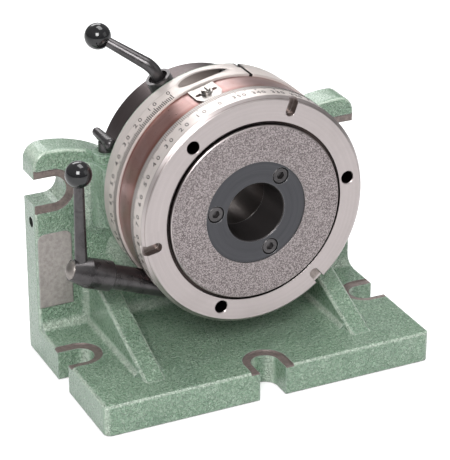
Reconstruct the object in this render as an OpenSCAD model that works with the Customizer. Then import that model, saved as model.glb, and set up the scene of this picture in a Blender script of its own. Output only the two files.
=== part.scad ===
// Direct indexing fixture: a cast angle body, a turning head sleeve and a faced spindle for a chuck.
// Frame: millimetres, +Z up, the spindle face looks along -Y, the origin lies under the foot at its middle.

/* [Casting] */
// Width of the foot and of the back plate
base_width = 188; // [180:1:200]
// Depth of the foot from its front edge to the back face
base_depth = 107; // [104:1:116]
// Thickness of the foot
foot_thickness = 17; // [14:0.5:20]
// Thickness of the back plate
plate_thickness = 16; // [14:0.5:18]
// Height of the spindle axis above the foot's underside
centre_height = 97; // [92:0.5:105]
// Length of the head from the spindle flange's face to the back of the casting
barrel_length = 84; // [84:0.5:88]
// Height of the two side lugs above the spindle axis
lug_rise = 22.5; // [21:0.5:26]
// Width of the clamping slots
slot_width = 15; // [12:0.5:18]
// Distance from an edge to the centre of a slot's round end
slot_inset = 9.5; // [8:0.5:12]
// Diameter of the spot face round a slot's end
spot_face = 24; // [20:0.5:26]
// Radius of the rounded cast edges
cast_edge = 2; // [1:0.2:3]
// Depth of the spot faces
spot_depth = 1; // [0.5:0.1:1.5]
// Thickness of the two ribs
rib_thickness = 12; // [10:0.5:14]
// Distance between the middles of the two ribs
rib_spacing = 120; // [112:1:128]
// Height of the ribs where they meet the back plate
rib_height = 31.5; // [24:0.5:40]

/* [Barrel] */
// Diameter of the spindle flange and of the graduated ring
flange_diameter = 125; // [122:0.5:127]
// Width of the spindle flange
flange_width = 15.5; // [14:0.5:16]
// Diameter of the polished band of the head sleeve
band_diameter = 122.6; // [120:0.2:123]
// Outside diameter of the head sleeve in the housing
sleeve_diameter = 100; // [98:0.5:101]
// Outside diameter of the dark rear barrel
barrel_diameter = 103; // [102.4:0.2:104]
// Diameter of the spindle journal
journal_diameter = 64; // [60:0.5:66]
// Width of the graduated ring
ring_width = 17.7; // [16:0.1:18]
// Diameter of the cast collar behind the graduated ring
collar_diameter = 124; // [120:0.5:124.5]
// Width of the saw cut in the graduated ring
saw_cut = 2; // [1:0.1:2.5]
// Angle of the saw cut from the right-hand side
saw_angle = 77.4; // [60:0.2:85]

/* [Chuck seat] */
// Diameter of the chuck register
register_diameter = 95; // [90:0.5:96]
// Height of the register above the flange face
register_height = 1.5; // [1.2:0.1:3]
// Bolt circle of the three chuck screws
chuck_circle = 108; // [107:0.1:110]
// Wall diameter of the chuck screw holes
chuck_hole = 6.8; // [5:0.1:8.5]
// Angle of the first chuck screw hole
chuck_angle = 129.5; // [100:0.5:140]
// Depth of the relief groove round the register
register_groove = 2.2; // [1.5:0.1:3]
// Width of the three tenon slots
tenon_slot = 5.4; // [5:0.2:8]
// Depth of the three tenon slots
tenon_depth = 4.5; // [3:0.5:6]
// Bore of the spindle
spindle_bore = 32; // [28:0.5:32]
// Diameter of the black bore ring
bore_ring_diameter = 56; // [54:0.5:60]

/* [Indexing] */
// Number of notches in the index plate
notch_count = 24; // [12:12:24]
// Width of an index notch
notch_width = 7; // [5:0.1:7]
// Diameter of the index pin
pin_diameter = 10; // [8:0.1:10]
// Travel of the index pin
pin_travel = 3.68; // [3:0.02:3.7]
// Angle of the index pin round the barrel
pin_angle = 249.15; // [245:0.05:253]
// Distance of the index lever shaft from the spindle axis
shaft_offset = 55.8; // [55.5:0.1:55.9]
// Diameter of the shaft guide bush outside the band
bush_diameter = 13; // [11:0.5:14]
// Diameter of the index lever hub
hub_diameter = 16; // [14:0.5:18]
// Height of the index lever's knob above its shaft
index_arm = 54.2; // [45:0.2:60]

/* [Levers] */
// Diameter of the ball knobs
knob_diameter = 14; // [13:0.5:16]
// Diameter of the lever rods at their thick end
rod_diameter = 6.6; // [6:0.1:7.2]
// Diameter of the lever rods inside their knobs
rod_tip_diameter = 5.4; // [5:0.1:5.8]
// Angle of the clamp lever round the barrel
clamp_angle = 115.7; // [110:0.1:120]
// Length of the clamp lever from its bend to the knob
clamp_arm_length = 32.4; // [25:0.1:40]
// Bend of the clamp lever
clamp_bend = 46.8; // [40:0.2:60]
// Bend radius of the clamp lever rod
bend_radius = 10; // [8:0.5:12]
// How much the bent stretch of the clamp lever rod is thicker in radius than its straight ends
bend_swell = 0.05; // [0.04:0.01:0.1]
// Diameter of the lock handle at its free end
bar_diameter = 5; // [4.6:0.1:5.6]

/* [Fits] */
// Radial running clearance between turning parts
running = 0.05; // [0.02:0.01:0.08]
// Radial gap where a piece seats in another
seat = 0.02; // [0.01:0.01:0.04]

/* [Hidden] */
$fn = 72;
front_y = -base_depth / 2;
back_y = base_depth / 2;
face_y = back_y - barrel_length;
back_d = barrel_length;
plate_d = back_d - plate_thickness;
half_w = base_width / 2;
flange_r = flange_diameter / 2;
band_r = band_diameter / 2;
sleeve_r = sleeve_diameter / 2;
journal_r = journal_diameter / 2;
register_r = register_diameter / 2;
bore_r = spindle_bore / 2;
bore_ring_r = bore_ring_diameter / 2;
pin_r = pin_diameter / 2;
bush_r = bush_diameter / 2;
hub_r = hub_diameter / 2;
knob_r = knob_diameter / 2;
rod_r = rod_diameter / 2;
rod_tip_r = rod_tip_diameter / 2;
barrel_r = barrel_diameter / 2;
collar_r = collar_diameter / 2;
bar_r = bar_diameter / 2;
slot_r = slot_width / 2;
spot_r = spot_face / 2;

// Depths along the barrel, counted from the flange face towards the back.
flange_gap = 0.3;
band_d = flange_width + flange_gap;
ring_d = 33.3;
ring_back_d = ring_d + ring_width;
index_back_d = 30;
cavity_d = 31;
barrel_d = ring_back_d + running;
// Radii of the rear end, as shares of the room between the spindle journal and the barrel.
rear_room = barrel_r - journal_r;
tail_r = journal_r + rear_room * 28 / 39;
pocket_r = journal_r + rear_room * 6 / 13;
washer_r = journal_r + rear_room * 5 / 13;
nut_r = journal_r + rear_room / 3;
tail_end_d = back_d - 1;
rear_floor_d = 68;
rear_washer = 1.5;
nut_d = rear_floor_d + rear_washer + running;
nut_end_d = nut_d + 10;
spindle_end_d = nut_end_d + 0.5;

// Index plate and pin, radii from the spindle axis.
index_r = 46;
notch_depth = 3.4;
cavity_r = index_r + 0.7;
pin_tip_r = index_r + 0.45;
pin_d = 24.5;
pin_end_r = band_r - 0.3;
tongue_length = 3.9;
crank_throw = pin_travel / 2 / sin(45);
crank_pin_r = 1.5;
crank_disc_r = 4.3;
crank_notch = crank_pin_r + 0.12;
crank_end = pin_r - 1.5;
shaft_r = 3.2;
tenon_r = 4.7;
bush_in = -19;
bush_out = -53.8;
hub_in = -54.2;
hub_taper = -67.6;
hub_out = -77;
hub_tip_r = 5.5;
arm_t = -70.9;
arm_lean = pin_angle - 270;
arm_root = (shaft_r + seat + (rod_r + seat) * abs(sin(arm_lean))) / cos(arm_lean);

// Clamp lever and shoe.
clamp_d = 58;
shoe_r = 4;
clamp_thread_r = 4.9;
clamp_tip_r = tail_r - 6;
cup_r = 6.75;
cup_low = barrel_r + 3;
cup_top = cup_low + 9.5;
neck_r = 5.3;
clamp_corner = cup_top + 6.5;
clamp_sweep = 36.4;
shoe_gap = 0.3;

// Sleeve lock on the left shoulder: a shaft with an eccentric that presses on the rear barrel.
cam_r = 3.2;
cam_throw = 0.6;
cam_gap = 0.5;
cam_half = 5.5;
lock_x = -barrel_r - cam_gap - cam_r;
lock_d = 64;
lock_journal_r = cam_r + cam_throw + 0.1;
lock_shank_r = 2.9;
lock_tip_r = 1.6;
lock_bottom = -19;
boss_r = 8.5;
boss_neck_r = 7;
boss_bottom = -22;
shoulder_top = 14;
boss_top = 19;
lock_hub_r = 3.9;
bar_hub_r = bar_r + 0.7;
bar_z = 25;
bar_front_d = 55;
bar_back_d = 78;

// Tangential clamp screw of the split ring.
ring_screw_r = 56;
ring_pocket_r = 5.6;
ring_screw_d = ring_d + 8.7;
ring_seat = 6;

// Pointer plate on the band.
pointer_angle = 105;
flat_half = 10;
flat_r = sqrt(band_r * band_r - flat_half * flat_half);
plate_t = 1;
slot_half = 6;
pointer_slot_r = 1.3;
pointer_shank_r = 1.2;

// Colours.
green = [0.50, 0.62, 0.53];
steel = [0.72, 0.70, 0.69];
ground = [0.60, 0.58, 0.57];
dark = [0.22, 0.22, 0.24];
brown = [0.42, 0.34, 0.33];
black = [0.06, 0.06, 0.07];
bronze = [0.70, 0.52, 0.28];
bright = [0.85, 0.84, 0.83];

// Puts local +Z along the spindle axis towards the back, starting at depth d.
module on_axis(d = 0) {
    translate([0, face_y + d, centre_height])
        rotate([-90, 0, 0])
            children();
}

// Puts local +X outward at angle a round the spindle, +Y to the back and +Z along the rim.
module at_angle(d, a) {
    translate([0, face_y + d, centre_height])
        rotate([0, -a, 0])
            children();
}

module disc(r, d0, d1) {
    on_axis(d0)
        cylinder(r = r, h = d1 - d0);
}

module hoop(r_out, r_in, d0, d1) {
    difference() {
        disc(r_out, d0, d1);
        disc(r_in, d0 - 1, d1 + 1);
    }
}

// A rod along local +X from x0 to x1.
module rod_x(r, x0, x1, sides = 48) {
    translate([x0, 0, 0])
        rotate([0, 90, 0])
            cylinder(r = r, h = x1 - x0, $fn = sides);
}

// A rod along local +Z from z0 to z1, at distance x.
module rod_z(r, x, z0, z1, sides = 48) {
    translate([x, 0, z0])
        cylinder(r = r, h = z1 - z0, $fn = sides);
}

// A lever rod along local +X: tapered from x0 to x1, then straight inside the knob to x2.
module lever_rod(x0, x1, x2) {
    translate([x0, 0, 0])
        rotate([0, 90, 0])
            cylinder(r1 = rod_r, r2 = rod_tip_r, h = x1 - x0, $fn = 48);
    rod_x(rod_tip_r, x1 - 0.01, x2);
}

// Concave cast fillet along local +Z, filling the corner of the +X and +Y sides.
module cove(r, length) {
    linear_extrude(height = length)
        cove_profile(r);
}

module socket_head(r, h, across) {
    difference() {
        union() {
            cylinder(r = r, h = h - 0.4, $fn = 40);
            translate([0, 0, h - 0.4])
                cylinder(r1 = r, r2 = r - 0.4, h = 0.4, $fn = 40);
        }
        translate([0, 0, h * 0.45])
            cylinder(d = across / cos(30), h = h, $fn = 6);
    }
}

// Rounded bar profile seen from above, with small corner radii.
module rounded_rect(w, d, r) {
    square([w - 2 * r, d], center = true);
    square([w, d - 2 * r], center = true);
    for (sx = [-1, 1])
        for (sy = [-1, 1])
            translate([sx * (w / 2 - r), sy * (d / 2 - r)])
                circle(r = r, $fn = 32);
}

// A disc in the plate's thickness, its front edge rounded, with its axis along local +Z and its front at zero.
module edged_disc(r, t, edge) {
    rotate_extrude($fn = 120)
        union() {
            square([r - edge, t]);
            translate([0, edge])
                square([r, t - edge]);
            translate([r - edge, edge])
                intersection() {
                    circle(r = edge, $fn = 32);
                    translate([0, -edge])
                        square(edge + 0.01);
                }
        }
}

// One side of the back plate up to its lug, seen from above as the foot stands.
module plate_side() {
    corner = 9;
    sweep = 68;
    top = centre_height + lug_rise;
    front = back_y - plate_thickness;
    // Upright part beside the corner, with a rounded front edge
    linear_extrude(height = top - corner)
        union() {
            translate([0, front])
                square([half_w - cast_edge, plate_thickness]);
            translate([half_w - cast_edge - 1, front + cast_edge])
                square([cast_edge + 1, plate_thickness - cast_edge]);
            translate([half_w - cast_edge, front + cast_edge])
                circle(r = cast_edge, $fn = 48);
        }
    // Rounded corner of the lug
    translate([half_w - corner, front, top - corner])
        rotate([-90, 0, 0])
            edged_disc(corner, plate_thickness, cast_edge);
    // Long sweep down to the barrel
    intersection() {
        translate([half_w - corner, front, top - sweep])
            rotate([-90, 0, 0])
                edged_disc(sweep, plate_thickness, cast_edge);
        translate([40, front - 1, top - 40])
            cube([half_w - corner - 40, plate_thickness + 2, 60]);
    }
}

module back_plate() {
    for (m = [0, 1])
        mirror([m, 0, 0])
            plate_side();
    translate([-45, back_y - plate_thickness, 0])
        cube([90, plate_thickness, centre_height + lug_rise - 12]);
}

// The foot with rounded upper edges at its front and sides.
module foot() {
    intersection() {
        linear_extrude(height = foot_thickness)
            rounded_rect(base_width, base_depth, 4);
        translate([0, back_y + 1, 0])
            rotate([90, 0, 0])
                linear_extrude(height = base_depth + 2)
                    rounded_top(base_width, foot_thickness, cast_edge);
        rotate([90, 0, 90])
            translate([back_y + 10, 0, -half_w - 1])
                linear_extrude(height = base_width + 2)
                    rounded_top(2 * base_depth + 20, foot_thickness, cast_edge);
    }
}

// Upright rectangle standing on the X axis, with its two upper corners rounded.
module rounded_top(w, h, r) {
    translate([-w / 2, 0])
        square([w, h - r]);
    translate([-w / 2 + r, 0])
        square([w - 2 * r, h]);
    for (s = [-1, 1])
        translate([s * (w / 2 - r), h - r])
            circle(r = r, $fn = 32);
}

// Straight cutter for a slot that runs in from the outside along local +X, with its round end at the origin.
module slot_cut(r, length, h) {
    cylinder(r = r, h = h, $fn = 48);
    translate([0, -r, 0])
        cube([length, 2 * r, h]);
}

module foot_slots(r, z0, z1) {
    for (s = [0, 180])
        rotate([0, 0, s])
            translate([half_w - slot_inset, s == 0 ? 4 : -4, z0])
                slot_cut(r, slot_inset + 10, z1 - z0);
    translate([0, front_y + slot_inset, z0])
        rotate([0, 0, -90])
            slot_cut(r, slot_inset + 10, z1 - z0);
}

module plate_slots(r, y0, y1) {
    for (s = [-1, 1])
        translate([s * (half_w - slot_inset - 1), y1, centre_height])
            rotate([90, 0, 0])
                rotate([0, 0, s == 1 ? 0 : 180])
                    slot_cut(r, slot_inset + 11, y1 - y0);
}

// Sloping rib with rounded upper edges, cut off at the foot and at the back plate.
module rib() {
    toe = front_y + 13.5;
    run = back_y - plate_thickness - toe;
    slope = atan2(rib_height, run);
    intersection() {
        translate([0, toe, foot_thickness])
            rotate([slope, 0, 0])
                translate([0, run + 30, -60])
                    rotate([90, 0, 0])
                        linear_extrude(height = run + 60)
                            rounded_top(rib_thickness, 60, 2);
        translate([-rib_thickness, toe - 1, foot_thickness - 2])
            cube([2 * rib_thickness, run + 3, rib_height + 3]);
    }
}

// Half-open collar behind the graduated ring: round below, straight up to the shoulders, with a cast cove.
module collar() {
    cove_r = 12;
    length = plate_d - ring_back_d + 1;
    difference() {
        union() {
            disc(collar_r, ring_back_d - 1, plate_d + 1);
            on_axis(plate_d)
                mirror([0, 0, 1])
                    rotate_extrude($fn = 96)
                        translate([collar_r, 0])
                            cove_profile(cove_r);
        }
        translate([-100, face_y + ring_back_d - 2, centre_height])
            cube([200, length + 4, 100]);
    }
    for (m = [0, 1])
        mirror([m, 0, 0])
            translate([0, 0, centre_height])
                union() {
                    translate([30, face_y + ring_back_d - 1, 0])
                        cube([collar_r - 30, length + 1, shoulder_top]);
                    translate([collar_r, face_y + plate_d, 0])
                        mirror([0, 1, 0])
                            linear_extrude(height = shoulder_top)
                                cove_profile(cove_r);
                }
}

// Section of a concave fillet in the corner of the +X and +Y sides.
module cove_profile(r) {
    difference() {
        translate([-0.5, -0.5])
            square(r + 0.5);
        translate([r, r])
            circle(r = r, $fn = 48);
    }
}

module base_casting() {
    plate_y = back_y - plate_thickness;
    color(green)
        difference() {
            union() {
                foot();
                back_plate();
                // Fillet where the plate stands on the foot
                translate([-half_w + 1, plate_y, foot_thickness])
                    rotate([90, 0, 90])
                        scale([-1, 1, 1])
                            cove(7, base_width - 2);
                for (s = [-1, 1])
                    translate([s * rib_spacing / 2, 0, 0])
                        union() {
                            rib();
                            // Fillets along the foot and up the plate, on both sides of the rib
                            for (m = [0, 1])
                                mirror([m, 0, 0])
                                    union() {
                                        translate([rib_thickness / 2, plate_y + 1, foot_thickness])
                                            rotate([90, 0, 0])
                                                cove(4, plate_y - front_y - 22);
                                        translate([rib_thickness / 2, plate_y, foot_thickness - 1])
                                            mirror([0, 1, 0])
                                                cove(5, rib_height - 1);
                                    }
                        }
                collar();
                // Boss of the sleeve lock
                translate([lock_x, face_y + lock_d, centre_height])
                    union() {
                        translate([0, 0, boss_bottom])
                            cylinder(r = boss_r, h = shoulder_top - boss_bottom, $fn = 48);
                        cylinder(r = boss_neck_r, h = boss_top, $fn = 48);
                    }
                // Graduated ring
                on_axis(ring_d)
                    cylinder(r = flange_r, h = ring_width);
                // Machined pad at the left of the plate
                translate([-half_w + 0.5, plate_y - 0.8, centre_height - 67])
                    pad();
            }
            // Housing bore and its rear counterbore
            disc(sleeve_r + running, ring_d - 1, ring_back_d + 1);
            disc(barrel_r + running, ring_back_d, back_d + 1);
            // Machined step round the rear part of the ring
            difference() {
                disc(flange_r + 2, ring_back_d - 7.5, ring_back_d + 0.01);
                disc(flange_r - 0.35, ring_back_d - 8, ring_back_d + 1);
            }
            // Blind tapped hole in the left side
            translate([-half_w - 1, back_y - 9, centre_height - 19])
                rod_x(2.9, 0, 11, 32);
            // Clamping slots with their spot faces
            foot_slots(slot_r, -1, foot_thickness + 1);
            foot_slots(spot_r, foot_thickness - spot_depth, foot_thickness + 30);
            plate_slots(slot_r, plate_y - 1, back_y + 1);
            plate_slots(spot_r, plate_y - 30, plate_y + spot_depth);
            // Saw cut and tangential screw of the split ring
            at_angle(ring_d - 1, saw_angle)
                translate([sleeve_r - 2, 0, -saw_cut / 2])
                    cube([20, ring_width + 2, saw_cut]);
            at_angle(ring_screw_d, saw_angle)
                union() {
                    rod_z(ring_pocket_r, ring_screw_r, ring_seat, 45);
                    rod_z(3.2, ring_screw_r, 0, ring_seat + 1, 32);
                    rod_z(3 + seat, ring_screw_r, -15, 1, 32);
                }
            // Bores of the sleeve lock
            translate([lock_x, face_y + lock_d, centre_height])
                union() {
                    translate([0, 0, boss_bottom - 1])
                        cylinder(r = lock_journal_r + running, h = cam_half + 0.5 - boss_bottom + 1, $fn = 48);
                    cylinder(r = lock_shank_r + running, h = boss_top + 1, $fn = 40);
                }
        }
}

// Flat pad with rounded upper corners, drawn from its lower left corner.
module pad() {
    w = 19;
    h = 43;
    rotate([90, 0, 0])
        translate([0, 0, -1.8])
            linear_extrude(height = 1.8)
                union() {
                    translate([w / 2, h / 2])
                        rounded_rect(w, h, 4);
                    square([w, 5]);
                }
}

module ring_clamp_screw() {
    color(dark)
        at_angle(ring_screw_d, saw_angle)
            translate([ring_screw_r, 0, 0])
                union() {
                    translate([0, 0, ring_seat])
                        socket_head(5, 6, 5);
                    translate([0, 0, -14])
                        cylinder(r = 3, h = ring_seat + 14.5, $fn = 32);
                }
}

module head_sleeve() {
    color(brown)
        difference() {
            union() {
                disc(band_r, band_d, ring_d - running);
                disc(sleeve_r, ring_d - 1, barrel_d);
                disc(tail_r, barrel_d, tail_end_d);
            }
            disc(cavity_r, band_d - 1, cavity_d);
            disc(journal_r + running, band_d, back_d);
            disc(pocket_r, rear_floor_d, back_d);
            // Flat for the pointer plate and its tapped hole
            at_angle(0, pointer_angle)
                translate([flat_r, band_d - 1, -15])
                    cube([10, ring_d - band_d + 0.9, 30]);
            at_angle(pin_d, pointer_angle)
                rod_x(pointer_shank_r + seat, flat_r - 7, flat_r + 1, 24);
            // Radial bore of the index pin and tangential bore of its lever shaft
            at_angle(pin_d, pin_angle)
                union() {
                    rod_x(pin_r + running, cavity_r - 3, band_r + 2);
                    rod_z(tenon_r + seat, shaft_offset, bush_in - 10, crank_end + 0.4);
                    rod_z(bush_r + seat, shaft_offset, bush_in - 30, bush_in);
                }
            // Radial bore of the spindle clamp
            at_angle(clamp_d, clamp_angle)
                union() {
                    rod_x(shoe_r + running, journal_r - 2, clamp_tip_r);
                    rod_x(clamp_thread_r + running, clamp_tip_r - 0.1, tail_r + 2);
                }
        }
}

module head_rear_barrel() {
    color(dark)
        difference() {
            hoop(barrel_r, tail_r + seat, barrel_d, tail_end_d);
            // Spanner holes in the rear face
            for (a = [45 : 90 : 315])
                at_angle(tail_end_d - 4, a)
                    translate([(barrel_r + tail_r) / 2, 0, 0])
                        rotate([-90, 0, 0])
                            cylinder(r = 1.7, h = 5, $fn = 32);
            // Radial hole round the neck of the clamp screw
            at_angle(clamp_d, clamp_angle)
                rod_x(neck_r + 0.15, tail_r - 2, barrel_r + 2);
        }
}

module front_thrust_washer() {
    color(bronze)
        hoop(index_r - 1, journal_r + 1, index_back_d + running, cavity_d);
}

module rear_thrust_washer() {
    color(bronze)
        hoop(washer_r, journal_r + 0.5, rear_floor_d, rear_floor_d + rear_washer);
}

module pointer_plate() {
    y0 = band_d + 0.6;
    y1 = ring_d - 0.5;
    color(bright)
        at_angle(0, pointer_angle)
            difference() {
                translate([flat_r, 0, 0])
                    rotate([90, 0, 90])
                        linear_extrude(height = plate_t)
                            polygon([[y0, -4.9], [y0, 4.9], [y0 + 4.5, 7.2], [y1, 7.2], [y1, -7.2],
                                [y0 + 4.5, -7.2]]);
                // Adjusting slot
                for (z = [-1, 1])
                    translate([flat_r - 1, pin_d, z * (slot_half - pointer_slot_r)])
                        rotate([0, 90, 0])
                            cylinder(r = pointer_slot_r, h = 4, $fn = 32);
                translate([flat_r - 1, pin_d - pointer_slot_r, -slot_half + pointer_slot_r])
                    cube([4, 2 * pointer_slot_r, 2 * (slot_half - pointer_slot_r)]);
            }
}

module pointer_washer() {
    color(bright)
        at_angle(pin_d, pointer_angle)
            difference() {
                rod_x(3.3, flat_r + plate_t, flat_r + plate_t + 0.6, 40);
                rod_x(pointer_shank_r + 0.1, flat_r, flat_r + 4, 24);
            }
}

module pointer_screw() {
    low = flat_r + plate_t + 0.6;
    color(bright)
        at_angle(pin_d, pointer_angle)
            difference() {
                union() {
                    rod_x(pointer_shank_r, flat_r - 6, low + 0.5, 24);
                    rod_x(2.5, low, low + 1.6, 40);
                }
                translate([low + 0.7, -5, -0.4])
                    cube([3, 10, 0.8]);
            }
}

module shaft_guide_bush() {
    color(dark)
        at_angle(pin_d, pin_angle)
            difference() {
                union() {
                    rod_z(bush_r, shaft_offset, bush_out, bush_in);
                    rod_z(tenon_r, shaft_offset, bush_in - 1, -crank_disc_r - 4.3);
                }
                rod_z(shaft_r + running, shaft_offset, bush_out - 1, 0, 40);
            }
}

module spindle() {
    groove = 1.8;
    rim = 2;
    tenon_end = chuck_circle / 2 + 1.3;
    color(steel)
        difference() {
            on_axis(0)
                rotate_extrude($fn = 96)
                    polygon([
                        [bore_r, spindle_end_d],
                        [bore_r, 22],
                        [bore_r + 3.5, 22],
                        [bore_r + 3.5, 7],
                        [bore_ring_r, 7],
                        [bore_ring_r, -register_height],
                        [register_r - 0.5, -register_height],
                        [register_r, -register_height + 0.5],
                        [register_r, register_groove],
                        [register_r + groove, register_groove],
                        [register_r + groove, 0],
                        [flange_r - rim, 0],
                        [flange_r, rim],
                        [flange_r, flange_width - 0.4],
                        [flange_r - 0.4, flange_width],
                        [journal_r, flange_width],
                        [journal_r, nut_d],
                        [journal_r - 4, nut_d],
                        [journal_r - 4, spindle_end_d]
                    ]);
            // Chuck screw holes and tenon slots
            for (k = [0 : 2])
                union() {
                    at_angle(-2, chuck_angle + 120 * k)
                        translate([chuck_circle / 2, 0, 0])
                            rotate([-90, 0, 0])
                                cylinder(r = chuck_hole / 2, h = 15.5, $fn = 40);
                    at_angle(-0.01, chuck_angle + 120 * k)
                        translate([chuck_circle / 2, 0, 0])
                            rotate([-90, 0, 0])
                                cylinder(r1 = chuck_hole / 2 + 0.35, r2 = chuck_hole / 2, h = 0.36, $fn = 40);
                    at_angle(-2, chuck_angle + 60 + 120 * k)
                        union() {
                            translate([tenon_end, 0, 0])
                                rotate([-90, 0, 0])
                                    cylinder(r = tenon_slot / 2, h = tenon_depth + 2, $fn = 40);
                            translate([tenon_end, 0, -tenon_slot / 2])
                                cube([20, tenon_depth + 2, tenon_slot]);
                        }
                }
            // Tapped holes for the bore ring
            for (k = [0 : 2])
                at_angle(5, 52 + 120 * k)
                    translate([22.6, 0, 0])
                        rotate([-90, 0, 0])
                            cylinder(r = 2.5 + seat, h = 11, $fn = 32);
            // Tapped holes for the index plate
            for (k = [0 : 2])
                at_angle(4, 22 + 120 * k)
                    translate([37.5, 0, 0])
                        rotate([-90, 0, 0])
                            cylinder(r = 2.5 + seat, h = 20, $fn = 32);
        }
}

module bore_ring() {
    color(dark)
        difference() {
            on_axis(0)
                rotate_extrude($fn = 96)
                    polygon([
                        [bore_r, 22 - seat],
                        [bore_r, -0.5],
                        [bore_r + 0.5, -1],
                        [bore_ring_r - seat, -1],
                        [bore_ring_r - seat, 7],
                        [bore_r + 3.5 - seat, 7],
                        [bore_r + 3.5 - seat, 22 - seat]
                    ]);
            for (k = [0 : 2])
                at_angle(-2, 52 + 120 * k)
                    translate([22.6, 0, 0])
                        rotate([-90, 0, 0])
                            union() {
                                cylinder(r = 4.6, h = 5, $fn = 40);
                                cylinder(r = 2.5 + seat, h = 12, $fn = 32);
                            }
        }
}

module bore_ring_screws() {
    color(black)
        for (k = [0 : 2])
            at_angle(3, 52 + 120 * k)
                translate([22.6, 0, 0])
                    rotate([90, 0, 0])
                        union() {
                            socket_head(4.25, 3.6, 4);
                            translate([0, 0, -11])
                                cylinder(r = 2.5, h = 11.5, $fn = 32);
                        }
}

module index_plate() {
    color(ground)
        difference() {
            hoop(index_r, journal_r + seat, flange_width, index_back_d);
            for (k = [0 : notch_count - 1])
                at_angle(flange_width - 1, pin_angle + 360 / notch_count * k)
                    translate([index_r - notch_depth, 0, -notch_width / 2])
                        cube([10, 20, notch_width]);
            for (k = [0 : 2])
                at_angle(flange_width - 1, 22 + 120 * k)
                    translate([37.5, 0, 0])
                        rotate([-90, 0, 0])
                            union() {
                                cylinder(r = 2.5 + seat, h = 20, $fn = 32);
                                translate([0, 0, 10])
                                    cylinder(r = 4.6, h = 10, $fn = 40);
                            }
        }
}

module index_plate_screws() {
    color(black)
        for (k = [0 : 2])
            at_angle(flange_width + 9, 22 + 120 * k)
                translate([37.5, 0, 0])
                    rotate([-90, 0, 0])
                        union() {
                            socket_head(4.25, 5, 4);
                            translate([0, 0, -19])
                                cylinder(r = 2.5, h = 19.5, $fn = 32);
                        }
}

module spindle_nut() {
    color(dark)
        difference() {
            hoop(nut_r, journal_r - 4 + seat, nut_d, nut_end_d);
            for (a = [0 : 90 : 270])
                at_angle(nut_d - 1, a)
                    translate([nut_r - 3.5, 0, -3])
                        cube([8, 20, 6]);
        }
}

module crank_shaft() {
    color(dark)
        at_angle(pin_d, pin_angle)
            difference() {
                union() {
                    rod_z(shaft_r, shaft_offset, hub_out, -crank_disc_r - 3.5, 40);
                    rod_z(crank_disc_r, shaft_offset, -crank_disc_r - 4, -crank_disc_r - 2);
                    translate([crank_throw * cos(45), crank_throw * sin(45), 0])
                        rod_z(crank_pin_r, shaft_offset, -crank_disc_r - 3, crank_end, 32);
                }
                rod_z(1.9 + seat, shaft_offset, hub_out - 1, hub_out + 9, 32);
            }
}

module index_lever_hub() {
    color(dark)
        at_angle(pin_d, pin_angle)
            difference() {
                translate([shaft_offset, 0, 0])
                    rotate_extrude($fn = 64)
                        polygon([
                            [shaft_r + seat, hub_out],
                            [hub_tip_r, hub_out],
                            [hub_r, hub_taper],
                            [hub_r, hub_in - 0.8],
                            [hub_r - 0.8, hub_in],
                            [shaft_r + seat, hub_in]
                        ]);
                translate([shaft_offset, 0, arm_t])
                    rotate([0, arm_lean, 0])
                        rod_x(rod_r + seat, -20, 0);
            }
}

module index_lever_rod() {
    color(dark)
        at_angle(pin_d, pin_angle)
            translate([shaft_offset, 0, arm_t])
                rotate([0, arm_lean + 180, 0])
                    lever_rod(arm_root + seat, index_arm - knob_r, index_arm - 1);
}

module index_lever_knob() {
    color(black)
        at_angle(pin_d, pin_angle)
            translate([shaft_offset, 0, arm_t])
                rotate([0, arm_lean, 0])
                    translate([-index_arm, 0, 0])
                        rotate([0, 90, 0])
                            knob();
}

// Ball knob with a flat and a blind hole on its +Z side.
module knob() {
    difference() {
        sphere(r = knob_r, $fn = 40);
        translate([0, 0, -1])
            cylinder(r = rod_tip_r + seat, h = 20, $fn = 48);
        translate([-10, -10, knob_r - 0.8])
            cube([20, 20, 5]);
    }
}

module hub_end_screw() {
    cap_h = 2.6;
    cap_r = 5;
    ball = (cap_r * cap_r + cap_h * cap_h) / (2 * cap_h);
    color(bright)
        at_angle(pin_d, pin_angle)
            translate([shaft_offset, 0, hub_out])
                union() {
                    difference() {
                        translate([0, 0, ball - cap_h])
                            sphere(r = ball, $fn = 64);
                        translate([-20, -20, 0])
                            cube(40);
                    }
                    translate([0, 0, -0.5])
                        cylinder(r = 1.9, h = 9, $fn = 32);
                }
}

module index_pin() {
    color(bright)
        at_angle(pin_d, pin_angle)
            difference() {
                rod_x(pin_r, pin_tip_r, pin_end_r);
                // Flats that leave the tongue
                for (s = [-1, 1])
                    translate([pin_tip_r - 1, -10, s == 1 ? notch_width / 2 - running : -10 - notch_width / 2
                        + running])
                        cube([tongue_length + 1, 20, 10]);
                // Side notch for the crank pin
                translate([shaft_offset + pin_travel / 2 - crank_notch, 0.1, -10])
                    cube([2 * crank_notch, 20, 20]);
            }
}

module clamp_screw() {
    color(dark)
        at_angle(clamp_d, clamp_angle)
            difference() {
                union() {
                    rod_x(clamp_thread_r, clamp_tip_r + running, tail_r + 1);
                    rod_x(neck_r, tail_r + 0.3, cup_low + 0.5);
                    rod_x(cup_r, cup_low, cup_top);
                }
                rod_x(cup_r - 1.6, cup_top - 2.5, cup_top + 1);
                rod_x(rod_r + seat, cup_low - 1, cup_top);
            }
}

module clamp_lever_rod() {
    tangent = bend_radius * tan(clamp_bend / 2);
    color(dark)
        at_angle(clamp_d, clamp_angle)
            rotate([clamp_sweep, 0, 0])
                union() {
                    rod_x(rod_r, cup_low - 1, clamp_corner - tangent + 0.2);
                    translate([clamp_corner - tangent, bend_radius, 0])
                        rotate([0, 0, -90])
                            rotate_extrude(angle = clamp_bend, $fn = 64)
                                translate([bend_radius, 0])
                                    circle(r = rod_r + bend_swell, $fn = 48);
                    translate([clamp_corner, 0, 0])
                        rotate([0, 0, clamp_bend])
                            lever_rod(tangent - 0.2, clamp_arm_length - knob_r, clamp_arm_length - 1);
                }
}

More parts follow.
